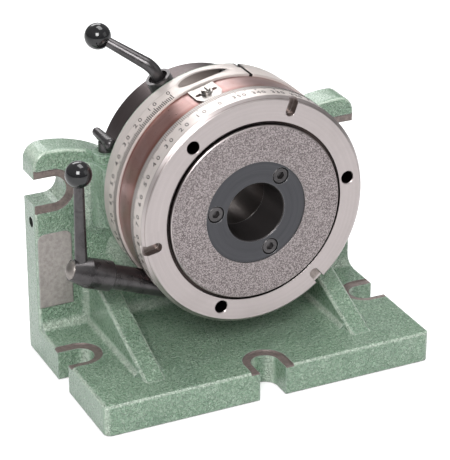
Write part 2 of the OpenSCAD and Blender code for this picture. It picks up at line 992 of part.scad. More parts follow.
module clamp_lever_knob() {
    color(black)
        at_angle(clamp_d, clamp_angle)
            rotate([clamp_sweep, 0, 0])
                translate([clamp_corner, 0, 0])
                    rotate([0, 0, clamp_bend])
                        translate([clamp_arm_length, 0, 0])
                            rotate([0, -90, 0])
                                knob();
}

module clamp_shoe() {
    color(bronze)
        difference() {
            at_angle(clamp_d, clamp_angle)
                rod_x(shoe_r, journal_r - 3, clamp_tip_r);
            disc(journal_r + shoe_gap, clamp_d - 10, clamp_d + 10);
        }
}

module lock_cam_shaft() {
    color(dark)
        translate([lock_x, face_y + lock_d, centre_height])
            union() {
                translate([0, 0, lock_bottom])
                    cylinder(r = lock_journal_r, h = -cam_half - lock_bottom, $fn = 48);
                // Eccentric, turned away from the barrel at rest
                translate([0, -cam_throw, -cam_half - 0.5])
                    cylinder(r = cam_r, h = 2 * cam_half + 0.5, $fn = 48);
                translate([0, 0, cam_half - 0.5])
                    cylinder(r = lock_shank_r, h = boss_top + 2 - cam_half + 0.5, $fn = 40);
                translate([0, 0, boss_top + 1.5])
                    cylinder(r = lock_tip_r, h = bar_z - boss_top - 1.5, $fn = 32);
            }
}

// Handle with its hub, tapered towards the free end.
module lock_handle() {
    front = face_y + bar_front_d + bar_hub_r;
    length = bar_back_d - bar_front_d - bar_hub_r - bar_r;
    color(dark)
        difference() {
            union() {
                translate([lock_x, front, centre_height + bar_z])
                    union() {
                        rotate([-90, 0, 0])
                            cylinder(r1 = bar_hub_r, r2 = bar_r, h = length, $fn = 40);
                        sphere(r = bar_hub_r, $fn = 40);
                        translate([0, length, 0])
                            sphere(r = bar_r, $fn = 40);
                    }
                translate([lock_x, face_y + lock_d, centre_height + boss_top + running])
                    cylinder(r = lock_hub_r, h = bar_z - boss_top - 1, $fn = 48);
            }
            translate([lock_x, face_y + lock_d, centre_height])
                union() {
                    cylinder(r = lock_shank_r + seat, h = boss_top + 2 + seat, $fn = 40);
                    cylinder(r = lock_tip_r + seat, h = bar_z + seat, $fn = 32);
                }
        }
}

base_casting();
ring_clamp_screw();
head_sleeve();
head_rear_barrel();
front_thrust_washer();
rear_thrust_washer();
pointer_plate();
pointer_washer();
pointer_screw();
shaft_guide_bush();
spindle();
bore_ring();
bore_ring_screws();
index_plate();
index_plate_screws();
spindle_nut();
crank_shaft();
index_lever_hub();
index_lever_rod();
index_lever_knob();
hub_end_screw();
index_pin();
clamp_screw();
clamp_lever_rod();
clamp_lever_knob();
clamp_shoe();
lock_cam_shaft();
lock_handle();
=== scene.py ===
import math

import bpy
from mathutils import Matrix, Vector


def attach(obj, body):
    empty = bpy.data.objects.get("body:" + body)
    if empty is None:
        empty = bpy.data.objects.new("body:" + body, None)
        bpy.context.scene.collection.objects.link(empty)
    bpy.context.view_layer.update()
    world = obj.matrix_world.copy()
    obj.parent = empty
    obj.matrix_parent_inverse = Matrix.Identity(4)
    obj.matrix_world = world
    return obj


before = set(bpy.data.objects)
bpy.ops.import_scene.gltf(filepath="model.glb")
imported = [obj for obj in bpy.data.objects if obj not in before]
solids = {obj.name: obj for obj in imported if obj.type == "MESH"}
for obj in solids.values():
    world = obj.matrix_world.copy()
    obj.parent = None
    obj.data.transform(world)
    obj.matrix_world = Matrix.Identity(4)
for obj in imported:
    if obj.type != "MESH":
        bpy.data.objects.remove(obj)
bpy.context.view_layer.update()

# Places on the fixture, in millimetres, the same as in the solids.
CENTRE_HEIGHT = 97.0
FACE_Y = -30.5
PLATE_FRONT_Y = 37.5
FLANGE_RADIUS = 62.5
FLANGE_BACK = 15.5
RING_FRONT = 33.3
RING_BACK = 51.0
REGISTER_RADIUS = 47.5
BORE_RADIUS = 16.0
CHUCK_HOLE_ANGLE = 129.5
SAW_ANGLE = 77.4
RIB_INSIDE = 54.0
RIB_OUTSIDE = 66.0
# Round ends of the bolt slots: the foot's side slots as x and y, the front slot as y, the plate's as x.
FOOT_SLOT = (84.5, 4.0)
FRONT_SLOT_Y = -44.0
PLATE_SLOT_X = 83.5
# Inner and outer radius of the spot faces round them.
SPOT_FACE = (7.6, 12.25)
# Tapped hole in the left side, as y and z.
SIDE_HOLE = (44.5, 78.0)
SIDE_HOLE_RADIUS = 3.1
MM = 0.001


# Recipes for shader and geometry nodes

class Recipe:
    """Adds nodes to one tree and joins them to what feeds them."""

    def __init__(self, tree):
        self.tree = tree

    def add(self, kind, feeds=None, **settings):
        made = self.tree.nodes.new(kind)
        for key, value in settings.items():
            setattr(made, key, value)
        for socket, value in (feeds or {}).items():
            self.feed(made.inputs[socket], value)
        return made

    def feed(self, socket, value):
        if isinstance(value, bpy.types.NodeSocket):
            self.tree.links.new(value, socket)
        else:
            socket.default_value = value

    def calc(self, operation, first, second=0.0, third=0.0, clamp=False):
        return self.add("ShaderNodeMath", {0: first, 1: second, 2: third},
                        operation=operation, use_clamp=clamp).outputs[0]

    def vector(self, operation, first, second=(0.0, 0.0, 0.0)):
        made = self.add("ShaderNodeVectorMath", {0: first, 1: second}, operation=operation)
        return made.outputs["Value" if operation in ("LENGTH", "DOT_PRODUCT") else "Vector"]

    def blend(self, share, first, second):
        made = self.add("ShaderNodeMix", {"Factor": share}, data_type="RGBA")
        self.feed(made.inputs[6], first)
        self.feed(made.inputs[7], second)
        return made.outputs[2]

    def between(self, value, low, high, soft=0.02):
        """1 where value lies from low to high, 0 outside, with a soft step."""
        rise = self.step(value, low, soft)
        fall = self.step(value, high, soft)
        return self.calc("SUBTRACT", rise, fall, clamp=True)

    def step(self, value, edge, soft=0.02):
        made = self.add("ShaderNodeMapRange", {"Value": value, "From Min": edge - soft,
                                               "From Max": edge + soft})
        made.interpolation_type = "SMOOTHSTEP"
        return made.outputs["Result"]

    def below(self, value, edge, soft=0.02):
        """1 under the edge, 0 over it."""
        return self.calc("SUBTRACT", 1.0, self.step(value, edge, soft))

    def spread(self, value, low, high, to_low=0.0, to_high=1.0):
        made = self.add("ShaderNodeMapRange", {"Value": value, "From Min": low, "From Max": high,
                                               "To Min": to_low, "To Max": to_high})
        return made.outputs["Result"]

    def noise(self, place, scale, detail=2.0, rough=0.5, warp=0.0):
        made = self.add("ShaderNodeTexNoise", {"Vector": place, "Scale": scale, "Detail": detail,
                                               "Roughness": rough, "Distortion": warp})
        return made.outputs["Fac"]

    def times(self, *masks):
        total = masks[0]
        for mask in masks[1:]:
            total = self.calc("MULTIPLY", total, mask)
        return total

    def either(self, *masks):
        total = masks[0]
        for mask in masks[1:]:
            total = self.calc("MAXIMUM", total, mask)
        return total


def srgb(red, green, blue):
    """A colour written as on a screen, 0 to 255, given as the linear value that the shader takes."""
    def straight(value):
        value = value / 255
        return value / 12.92 if value <= 0.04045 else ((value + 0.055) / 1.055) ** 2.4
    return (straight(red), straight(green), straight(blue), 1.0)


def new_group(name, inputs, outputs):
    """A shader node group with named inputs as {name: (kind, default)} and outputs as {name: kind}."""
    tree = bpy.data.node_groups.new(name, "ShaderNodeTree")
    for label, (kind, default) in inputs.items():
        socket = tree.interface.new_socket(label, in_out="INPUT", socket_type=kind)
        if default is not None:
            socket.default_value = default
    for label, kind in outputs.items():
        tree.interface.new_socket(label, in_out="OUTPUT", socket_type=kind)
    recipe = Recipe(tree)
    return tree, recipe, recipe.add("NodeGroupInput"), recipe.add("NodeGroupOutput")


FLOAT = "NodeSocketFloat"
COLOUR = "NodeSocketColor"
VECTOR = "NodeSocketVector"


def build_position_group():
    """Place on the fixture in millimetres: x, depth behind the flange face, height above the axis, radius, angle."""
    tree, r, _, result = new_group("fixture_position", {}, {
        "Place": VECTOR, "X": FLOAT, "Depth": FLOAT, "Height": FLOAT, "Radius": FLOAT, "Angle": FLOAT})
    point = r.add("ShaderNodeTexCoord").outputs["Object"]
    scaled = r.add("ShaderNodeVectorMath", {0: point, "Scale": 1 / MM}, operation="SCALE").outputs["Vector"]
    place = r.vector("SUBTRACT", scaled, (0.0, FACE_Y, CENTRE_HEIGHT))
    parts = r.add("ShaderNodeSeparateXYZ", {0: place})
    flat = r.add("ShaderNodeCombineXYZ", {"X": parts.outputs["X"], "Y": parts.outputs["Z"]}).outputs[0]
    r.feed(result.inputs["Place"], place)
    r.feed(result.inputs["X"], parts.outputs["X"])
    r.feed(result.inputs["Depth"], parts.outputs["Y"])
    r.feed(result.inputs["Height"], parts.outputs["Z"])
    r.feed(result.inputs["Radius"], r.vector("LENGTH", flat))
    r.feed(result.inputs["Angle"], r.calc("ARCTAN2", parts.outputs["Z"], parts.outputs["X"]))
    return tree


def build_edge_group():
    """Marks the sharp edges, broken up by a fine noise, and gives a normal that rounds them."""
    tree, r, given, result = new_group("edge_wear_and_highlight", {
        "Radius": (FLOAT, 0.0006), "Gain": (FLOAT, 3.0), "Breakup": (FLOAT, 0.5)},
        {"Mask": FLOAT, "Normal": VECTOR})
    rounded = r.add("ShaderNodeBevel", {"Radius": given.outputs["Radius"]}, samples=4).outputs["Normal"]
    facing = r.add("ShaderNodeNewGeometry").outputs["Normal"]
    turned = r.calc("SUBTRACT", 1.0, r.vector("DOT_PRODUCT", rounded, facing))
    place = r.add("ShaderNodeTexCoord").outputs["Object"]
    patches = r.spread(r.noise(place, 420.0, 3.0), 0.35, 0.65)
    kept = r.calc("SUBTRACT", 1.0, r.calc("MULTIPLY", given.outputs["Breakup"], patches))
    mask = r.times(turned, given.outputs["Gain"], kept)
    r.feed(result.inputs["Mask"], r.calc("MINIMUM", mask, 1.0))
    r.feed(result.inputs["Normal"], rounded)
    return tree


def build_smudge_group():
    """Broad handling marks and fine dust, both from 0 to 1."""
    tree, r, given, result = new_group("handling_marks", {"Scale": (FLOAT, 60.0)},
                                       {"Broad": FLOAT, "Fine": FLOAT})
    place = r.add("ShaderNodeTexCoord").outputs["Object"]
    r.feed(result.inputs["Broad"], r.noise(place, given.outputs["Scale"], 4.0, 0.6, 0.6))
    fine_scale = r.calc("MULTIPLY", given.outputs["Scale"], 14.0)
    r.feed(result.inputs["Fine"], r.noise(place, fine_scale, 3.0, 0.65))
    return tree


def build_turning_group():
    """Concentric cutter marks round the spindle axis, as a height and a shade from 0 to 1."""
    tree, r, given, result = new_group("turning_marks", {"Pitch": (FLOAT, 0.35)},
                                       {"Height": FLOAT, "Shade": FLOAT})
    position = r.add("ShaderNodeGroup", node_tree=bpy.data.node_groups["fixture_position"])
    spiral = r.add("ShaderNodeCombineXYZ", {
        "X": r.calc("DIVIDE", position.outputs["Radius"], given.outputs["Pitch"]),
        "Y": r.calc("MULTIPLY", position.outputs["Angle"], 1.2),
        "Z": r.calc("DIVIDE", position.outputs["Depth"], given.outputs["Pitch"])}).outputs[0]
    fine = r.noise(spiral, 1.0, 2.0, 0.6)
    wide = r.noise(spiral, 0.13, 2.0, 0.5)
    r.feed(result.inputs["Height"], fine)
    r.feed(result.inputs["Shade"], r.calc("ADD", r.calc("MULTIPLY", fine, 0.5), r.calc("MULTIPLY", wide, 0.5)))
    return tree


for build in (build_position_group, build_edge_group, build_smudge_group, build_turning_group):
    build()


def start_material(name, metallic=0.0, roughness=0.5, **sockets):
    material = bpy.data.materials.new(name)
    material.use_nodes = True
    material.node_tree.nodes.clear()
    recipe = Recipe(material.node_tree)
    output = recipe.add("ShaderNodeOutputMaterial")
    shader = recipe.add("ShaderNodeBsdfPrincipled", {"Metallic": metallic, "Roughness": roughness})
    for label, value in sockets.items():
        recipe.feed(shader.inputs[label.replace("_", " ").title()], value)
    recipe.feed(output.inputs["Surface"], shader.outputs["BSDF"])
    return material, recipe, shader


def placed(recipe, name, **values):
    """One of the shared groups, with its own values."""
    group = recipe.add("ShaderNodeGroup", node_tree=bpy.data.node_groups[name])
    for label, value in values.items():
        recipe.feed(group.inputs[label], value)
    return group.outputs


def bump(recipe, height, distance, normal=None, strength=1.0):
    made = recipe.add("ShaderNodeBump", {"Height": height, "Distance": distance, "Strength": strength})
    if normal is not None:
        recipe.feed(made.inputs["Normal"], normal)
    return made.outputs["Normal"]


# Materials

def cast_paint():
    """Wrinkled green paint on the casting, with the machined places left bare."""
    material, r, shader = start_material("cast_paint", coat_roughness=0.14)
    at = placed(r, "fixture_position")
    x, depth, height, radius = at["X"], at["Depth"], at["Height"], at["Radius"]
    z = r.calc("ADD", height, CENTRE_HEIGHT)
    y = r.calc("ADD", depth, FACE_Y)
    side = r.calc("ABSOLUTE", x)
    normal = r.add("ShaderNodeNewGeometry").outputs["Normal"]
    facing = r.add("ShaderNodeSeparateXYZ", {0: normal}).outputs
    edges = placed(r, "edge_wear_and_highlight", Radius=0.0013, Gain=4.0, Breakup=0.35)
    marks = placed(r, "handling_marks", Scale=38.0)
    point = at["Place"]

    # Bare machined places
    wobble = r.spread(r.noise(point, 0.6, 2.0), 0.0, 1.0, -0.25, 0.25)
    rim_depth = r.calc("ADD", depth, wobble)
    ring = r.times(r.between(radius, 49.0, 63.2), r.below(rim_depth, RING_BACK - 0.5))
    bore = r.below(radius, 52.4)
    foot_run = r.calc("MAXIMUM", r.calc("SUBTRACT", FOOT_SLOT[0], side), 0.0)
    foot_across = r.calc("SUBTRACT", y, FOOT_SLOT[1])
    front_run = r.calc("MAXIMUM", r.calc("SUBTRACT", y, FRONT_SLOT_Y), 0.0)
    plate_run = r.calc("MAXIMUM", r.calc("SUBTRACT", PLATE_SLOT_X, side), 0.0)

    def from_slot(run, across):
        return r.vector("LENGTH", r.add("ShaderNodeCombineXYZ", {"X": run, "Y": across}).outputs[0])

    def spot(distance):
        return r.between(distance, *SPOT_FACE)

    low_spots = r.either(spot(from_slot(foot_run, foot_across)), spot(from_slot(front_run, x)))
    low_spots = r.times(low_spots, r.between(z, 15.5, 16.92))
    high_spots = r.times(spot(from_slot(plate_run, height)), r.between(y, PLATE_FRONT_Y + 0.08, 38.6))
    pad = r.times(r.between(y, 36.4, 36.78, 0.01), r.step(side, 70.0), r.between(z, 25.0, 90.0))
    back = r.step(y, 53.4)
    under = r.below(z, 0.06)
    flats = r.either(low_spots, high_spots, pad)
    bare = r.either(ring, bore, flats, back, under)

    # Paint
    # Side faces and tops above 100 mm: less relief in the paint, and a painted shade on them further down.
    smooth_and_shaded_side = r.either(r.step(r.calc("ABSOLUTE", facing["X"]), 0.85, 0.1),
                           r.times(r.step(z, 100.0), r.step(facing["Z"], 0.5, 0.2)))
    relief = r.calc("SUBTRACT", 1.0, r.calc("MULTIPLY", smooth_and_shaded_side, 0.8))
    mottle = r.spread(r.noise(point, 0.11, 4.0, 0.6, 0.5), 0.3, 0.7)
    paint = r.blend(mottle, srgb(124, 154, 128), srgb(142, 168, 145))
    wrinkle = r.noise(point, 0.85, 1.0, 0.45, 1.0)
    # Painted highlight on the ridges of the wrinkle and painted shade in its hollows, on top of the bump below.
    lit_ridges = r.spread(wrinkle, 0.5, 0.64)
    shaded_valleys = r.spread(wrinkle, 0.36, 0.5, 1.0, 0.0)
    paint = r.blend(r.times(lit_ridges, relief, 0.26), paint, srgb(200, 212, 196))
    paint = r.blend(r.times(shaded_valleys, relief, 0.36), paint, srgb(74, 104, 82))
    # Painted shade on the side faces and tops.
    paint = r.blend(r.calc("MULTIPLY", smooth_and_shaded_side, 0.35), paint, srgb(92, 112, 96))
    grime = r.spread(marks["Broad"], 0.52, 0.78, 0.0, 0.3)
    paint = r.blend(grime, paint, srgb(88, 112, 100))
    # Painted highlight along the casting's edges, as if their rounding caught the light.
    paint = r.blend(r.calc("MULTIPLY", edges["Mask"], 0.6), paint, srgb(206, 224, 212))
    # Painted highlight on the rounded edges and fillets, where the normal leans between the axes, except on the
    # ribs' sloping tops.
    largest = r.either(*[r.calc("ABSOLUTE", facing[axis]) for axis in "XYZ"])
    on_rib = r.times(r.between(side, RIB_INSIDE + 1.5, RIB_OUTSIDE - 1.5, 0.3), r.step(z, 17.4))
    rounded = r.times(r.spread(largest, 0.98, 0.84), r.calc("SUBTRACT", 1.0, on_rib))
    # Painted shade: the inside of the tapped hole in the left side is painted near black.
    from_tapping = from_slot(r.calc("SUBTRACT", y, SIDE_HOLE[0]), r.calc("SUBTRACT", z, SIDE_HOLE[1]))
    tapped_hole_shade = r.times(r.below(from_tapping, SIDE_HOLE_RADIUS, 0.1),
                      r.below(side, 93.9, 0.05), r.step(side, 80.0))
    fillet_highlight = r.times(rounded, r.spread(wrinkle, 0.35, 0.6, 0.35, 0.75))
    paint = r.blend(fillet_highlight, paint, srgb(203, 215, 200))
    paint = r.blend(tapped_hole_shade, paint, srgb(42, 46, 42))

    # Bare iron
    turning = placed(r, "turning_marks", Pitch=0.3)
    iron = r.blend(turning["Shade"], srgb(194, 184, 179), srgb(226, 216, 211))
    strip = r.step(depth, 43.9, 0.15)
    iron = r.blend(r.times(strip, 0.3), iron, srgb(168, 162, 160))
    # Painted shade inside the ring: the pocket, the saw cut and the bore behind the ring's front face are darkened.
    ring_recess_shade = r.times(r.below(radius, 61.4, 0.2), r.step(depth, RING_FRONT + 0.6, 0.2))
    iron = r.blend(ring_recess_shade, iron, srgb(132, 122, 117))
    # Painted shade: the walls of the saw cut at the ring's top are painted almost black.
    below_rim = r.times(r.below(radius, 62.36, 0.04), r.step(depth, RING_FRONT + 0.2, 0.1))
    saw_cut_shade = r.times(below_rim, r.between(at["Angle"], math.radians(SAW_ANGLE - 2), math.radians(SAW_ANGLE + 2)))
    iron = r.blend(saw_cut_shade, iron, srgb(44, 38, 36))
    sawn = r.blend(r.spread(marks["Fine"], 0.3, 0.7), srgb(106, 95, 92), srgb(142, 130, 125))
    plain = r.blend(r.spread(marks["Fine"], 0.35, 0.65), srgb(152, 145, 142), srgb(176, 169, 165))
    iron = r.blend(r.either(low_spots, high_spots), iron, sawn)
    iron = r.blend(r.either(pad, back, under), iron, plain)

    r.feed(shader.inputs["Base Color"], r.blend(bare, paint, iron))
    r.feed(shader.inputs["Metallic"], r.times(bare, 0.35))
    gloss = r.spread(marks["Fine"], 0.3, 0.7, 0.24, 0.32)
    dull = r.spread(marks["Fine"], 0.3, 0.7, 0.3, 0.46)
    r.feed(shader.inputs["Roughness"], r.add("ShaderNodeMix", {0: bare, 2: gloss, 3: dull}).outputs[0])
    r.feed(shader.inputs["Coat Weight"], r.calc("MULTIPLY", r.calc("SUBTRACT", 1.0, bare), 0.6))

    painted = r.calc("SUBTRACT", 1.0, bare)
    skin = r.times(wrinkle, relief, painted, 0.9)
    skin = r.calc("ADD", skin, r.times(turning["Height"], bare, 0.04))
    r.feed(shader.inputs["Normal"], bump(r, skin, 0.0024, edges["Normal"]))
    return material


def faced_steel():
    """The turned spindle: clean rim, peened register face and fine cutter marks."""
    material, r, shader = start_material("faced_steel", metallic=1.0)
    at = placed(r, "fixture_position")
    edges = placed(r, "edge_wear_and_highlight", Radius=0.0004, Gain=3.0, Breakup=0.3)
    turning = placed(r, "turning_marks", Pitch=0.26)
    marks = placed(r, "handling_marks", Scale=45.0)
    on_register = r.times(r.below(at["Radius"], REGISTER_RADIUS - 0.5),
                          r.below(at["Depth"], -1.3))
    speck = r.noise(at["Place"], 1.5, 2.0, 0.7)
    speck_mask = r.spread(speck, 0.42, 0.6)
    steel = r.blend(turning["Shade"], srgb(168, 159, 158), srgb(196, 187, 186))
    rim = r.times(r.step(at["Radius"], 62.2, 0.1), r.step(at["Depth"], 2.2, 0.2))
    steel = r.blend(rim, steel, r.blend(turning["Shade"], srgb(198, 188, 184), srgb(228, 219, 214)))
    r.feed(shader.inputs["Metallic"], r.calc("MULTIPLY_ADD", rim, -0.5, 1.0))
    steel = r.blend(r.spread(marks["Broad"], 0.5, 0.8, 0.0, 0.25), steel, srgb(160, 152, 150))
    peened = r.blend(speck_mask, srgb(108, 99, 100), srgb(186, 176, 176))
    peened = r.blend(r.calc("MULTIPLY", r.spread(turning["Shade"], 0.4, 0.6), 0.3), peened, srgb(150, 144, 143))
    # Painted shade on the surfaces behind the face: the slot floors, the chuck holes and the register groove,
    # darkest in the holes and the groove.
    inside = r.times(r.step(at["Depth"], 0.5, 0.15), r.between(at["Radius"], 47.0, 61.2, 0.2))
    from_hole = r.calc("PINGPONG", r.calc("SUBTRACT", at["Angle"], math.radians(CHUCK_HOLE_ANGLE)), math.tau / 6)
    in_hole = r.below(from_hole, 0.095, 0.01)
    in_groove = r.below(at["Radius"], 50.2, 0.1)
    shaded = r.blend(r.spread(marks["Fine"], 0.3, 0.7), srgb(128, 118, 115), srgb(158, 148, 144))
    shaded = r.blend(r.either(in_hole, in_groove), shaded, srgb(62, 54, 52))
    colour = r.blend(on_register, r.blend(inside, steel, shaded), peened)
    # Painted shade down the spindle bore.
    in_bore = r.times(r.below(at["Radius"], BORE_RADIUS + 1.0, 0.2), r.step(at["Depth"], 0.5))
    colour = r.blend(in_bore, colour, srgb(82, 76, 74))
    colour = r.blend(r.calc("MULTIPLY", edges["Mask"], 0.5), colour, srgb(226, 222, 220))
    r.feed(shader.inputs["Base Color"], colour)
    plain_gloss = r.spread(marks["Fine"], 0.3, 0.7, 0.3, 0.42)
    r.feed(shader.inputs["Roughness"], r.add("ShaderNodeMix", {0: on_register, 2: plain_gloss, 3: 0.5}).outputs[0])
    height = r.calc("ADD", r.times(turning["Height"], r.calc("SUBTRACT", 1.0, on_register), 0.06),
                    r.times(speck, on_register, 0.5))
    r.feed(shader.inputs["Normal"], bump(r, height, 0.0003, edges["Normal"]))
    return material


def sleeve_steel():
    """The head sleeve: polished brown band in front, darker and duller journal behind."""
    material, r, shader = start_material("sleeve_steel", metallic=0.75)
    at = placed(r, "fixture_position")
    edges = placed(r, "edge_wear_and_highlight", Radius=0.0004, Gain=3.0, Breakup=0.4)
    turning = placed(r, "turning_marks", Pitch=0.5)
    marks = placed(r, "handling_marks", Scale=30.0)
    behind = r.step(at["Depth"], RING_FRONT + 0.4)
    polished = r.blend(turning["Shade"], srgb(138, 112, 110), srgb(168, 140, 137))
    dull = r.blend(turning["Shade"], srgb(96, 84, 82), srgb(122, 108, 105))
    colour = r.blend(behind, polished, dull)
    near_flange = r.below(at["Depth"], FLANGE_BACK + 3.6, 3.0)
    near_ring = r.between(at["Depth"], RING_FRONT - 1.3, RING_FRONT, 0.4)
    stain = r.times(r.either(near_flange, near_ring), r.spread(marks["Broad"], 0.25, 0.6, 0.35, 1.0))
    colour = r.blend(r.calc("MULTIPLY", stain, 0.8), colour, srgb(112, 56, 46))
    colour = r.blend(r.spread(marks["Broad"], 0.44, 0.62, 0.0, 0.45), colour, srgb(130, 80, 66))
    colour = r.blend(r.calc("MULTIPLY", edges["Mask"], 0.6), colour, srgb(190, 182, 178))
    r.feed(shader.inputs["Base Color"], colour)
    smooth = r.spread(marks["Fine"], 0.3, 0.7, 0.27, 0.34)
    rough = r.spread(marks["Fine"], 0.3, 0.7, 0.34, 0.44)
    r.feed(shader.inputs["Roughness"], r.add("ShaderNodeMix", {0: behind, 2: smooth, 3: rough}).outputs[0])
    r.feed(shader.inputs["Normal"], bump(r, r.times(turning["Height"], 0.04), 0.0002, edges["Normal"]))
    return material


def barrel_steel():
    """The rear barrel: browned, half dull, with fine turning marks."""
    material, r, shader = start_material("barrel_steel", metallic=0.9)
    edges = placed(r, "edge_wear_and_highlight", Radius=0.0004, Gain=3.0, Breakup=0.5)
    turning = placed(r, "turning_marks", Pitch=0.4)
    marks = placed(r, "handling_marks", Scale=34.0)
    colour = r.blend(turning["Shade"], srgb(74, 66, 67), srgb(98, 88, 88))
    colour = r.blend(r.spread(marks["Broad"], 0.5, 0.8, 0.0, 0.4), colour, srgb(70, 54, 50))
    colour = r.blend(r.calc("MULTIPLY", edges["Mask"], 0.5), colour, srgb(160, 152, 148))
    r.feed(shader.inputs["Base Color"], colour)
    r.feed(shader.inputs["Roughness"], r.spread(marks["Fine"], 0.3, 0.7, 0.3, 0.4))
    r.feed(shader.inputs["Normal"], bump(r, r.times(turning["Height"], 0.05), 0.0002, edges["Normal"]))
    return material


def black_oxide():
    """Blackened steel with bare metal showing through on its edges."""
    material, r, shader = start_material("black_oxide", metallic=0.8)
    edges = placed(r, "edge_wear_and_highlight", Radius=0.0002, Gain=3.0, Breakup=0.2)
    marks = placed(r, "handling_marks", Scale=90.0)
    colour = r.blend(r.spread(marks["Broad"], 0.3, 0.7), srgb(62, 60, 61), srgb(96, 93, 94))
    colour = r.blend(r.calc("MULTIPLY", edges["Mask"], 0.6), colour, srgb(170, 166, 164))
    r.feed(shader.inputs["Base Color"], colour)
    r.feed(shader.inputs["Roughness"], r.spread(marks["Broad"], 0.3, 0.7, 0.24, 0.34))
    r.feed(shader.inputs["Normal"], bump(r, marks["Broad"], 0.00003))
    return material


def black_ring():
    """The blackened and faced ring in the spindle mouth."""
    material, r, shader = start_material("black_ring", metallic=0.7)
    at = placed(r, "fixture_position")
    edges = placed(r, "edge_wear_and_highlight", Radius=0.0005, Gain=3.5, Breakup=0.4)
    turning = placed(r, "turning_marks", Pitch=0.3)
    marks = placed(r, "handling_marks", Scale=70.0)
    colour = r.blend(turning["Shade"], srgb(56, 56, 59), srgb(82, 82, 86))
    in_bore = r.below(at["Radius"], BORE_RADIUS + 0.3, 0.1)
    colour = r.blend(in_bore, colour, srgb(70, 66, 66))
    colour = r.blend(r.calc("MULTIPLY", edges["Mask"], 0.7), colour, srgb(180, 178, 178))
    r.feed(shader.inputs["Base Color"], colour)
    r.feed(shader.inputs["Roughness"], r.spread(marks["Fine"], 0.3, 0.7, 0.3, 0.42))
    r.feed(shader.inputs["Normal"], bump(r, r.times(turning["Height"], 0.05), 0.0002, edges["Normal"]))
    return material


def plain_metal(name, scale, dark, light, worn, worn_share, gloss, grain):
    """Bare metal of a small fitting: handling marks, worn edges and a faint grain."""
    material, r, shader = start_material(name, metallic=1.0)
    edges = placed(r, "edge_wear_and_highlight", Radius=0.0003, Gain=3.0, Breakup=0.3)
    marks = placed(r, "handling_marks", Scale=scale)
    colour = r.blend(r.spread(marks["Broad"], 0.3, 0.7), dark, light)
    colour = r.blend(r.calc("MULTIPLY", edges["Mask"], worn_share), colour, worn)
    r.feed(shader.inputs["Base Color"], colour)
    r.feed(shader.inputs["Roughness"], r.spread(marks["Fine"], 0.3, 0.7, *gloss))
    r.feed(shader.inputs["Normal"], bump(r, marks["Fine"], grain, edges["Normal"]))
    return material


def bright_steel():
    """Ground and polished steel of the small fittings."""
    return plain_metal("bright_steel", 120.0, srgb(148, 143, 140), srgb(180, 175, 171),
                       srgb(240, 239, 238), 0.5, (0.22, 0.36), 0.00003)


def dull_steel():
    """Plain steel, a little stained: the domed screw in the lever hub's end."""
    return plain_metal("dull_steel", 120.0, srgb(132, 126, 122), srgb(160, 154, 150),
                       srgb(226, 222, 220), 0.6, (0.36, 0.5), 0.00005)


def bearing_bronze():
    """Cast bronze of the thrust washers and the shoe."""
    return plain_metal("bearing_bronze", 80.0, srgb(150, 112, 62), srgb(196, 156, 96),
                       srgb(222, 190, 130), 0.5, (0.28, 0.42), 0.00004)


def knob_plastic():
    """Glossy black moulded knob with faint fingerprints."""
    material, r, shader = start_material("knob_plastic", coat_weight=0.3, coat_roughness=0.04)
    marks = placed(r, "handling_marks", Scale=110.0)
    colour = r.blend(r.spread(marks["Broad"], 0.3, 0.7), srgb(14, 14, 16), srgb(26, 26, 28))
    r.feed(shader.inputs["Base Color"], colour)
    r.feed(shader.inputs["Roughness"], r.spread(marks["Broad"], 0.35, 0.75, 0.06, 0.16))
    r.feed(shader.inputs["Normal"], bump(r, marks["Broad"], 0.00002))
    return material


def scale_ink():
    """Dark fill of the graduation lines and figures, worn thin in places."""
    material, r, shader = start_material("scale_ink", metallic=0.2, roughness=0.5)
    marks = placed(r, "handling_marks", Scale=150.0)
    colour = r.blend(r.spread(marks["Broad"], 0.45, 0.8), srgb(34, 28, 27), srgb(78, 70, 67))
    r.feed(shader.inputs["Base Color"], colour)
    r.feed(shader.inputs["Roughness"], r.spread(marks["Fine"], 0.3, 0.7, 0.4, 0.6))
    return material


FINISHES = {
    "cast_paint": cast_paint(), "faced_steel": faced_steel(), "sleeve_steel": sleeve_steel(),
    "barrel_steel": barrel_steel(),
    "black_oxide": black_oxide(), "black_ring": black_ring(), "bright_steel": bright_steel(),
    "dull_steel": dull_steel(),
    "knob_plastic": knob_plastic(), "bearing_bronze": bearing_bronze(), "scale_ink": scale_ink(),
}

SOLID_FINISH = {
    "base_casting": "cast_paint", "ring_clamp_screw": "black_oxide", "head_sleeve": "sleeve_steel",
    "head_rear_barrel": "barrel_steel", "front_thrust_washer": "bearing_bronze",
    "rear_thrust_washer": "bearing_bronze", "pointer_plate": "bright_steel",
    "pointer_washer": "bright_steel", "pointer_screw": "bright_steel", "shaft_guide_bush": "black_oxide",
    "spindle": "faced_steel", "bore_ring": "black_ring", "bore_ring_screws": "black_oxide",
    "index_plate": "faced_steel", "index_plate_screws": "black_oxide", "spindle_nut": "black_oxide",
    "crank_shaft": "black_oxide", "index_lever_hub": "black_oxide", "index_lever_rod": "black_oxide",
    "index_lever_knob": "knob_plastic", "hub_end_screw": "dull_steel", "index_pin": "bright_steel",
    "clamp_screw": "black_oxide", "clamp_lever_rod": "black_oxide", "clamp_lever_knob": "knob_plastic",
    "clamp_shoe": "bearing_bronze", "lock_cam_shaft": "black_oxide", "lock_handle": "black_oxide",
}

for name, finish in SOLID_FINISH.items():
    solid = solids[name]
    for place in range(len(solid.material_slots)):
        solid.material_slots[place].material = FINISHES[finish]


# Graduated scales

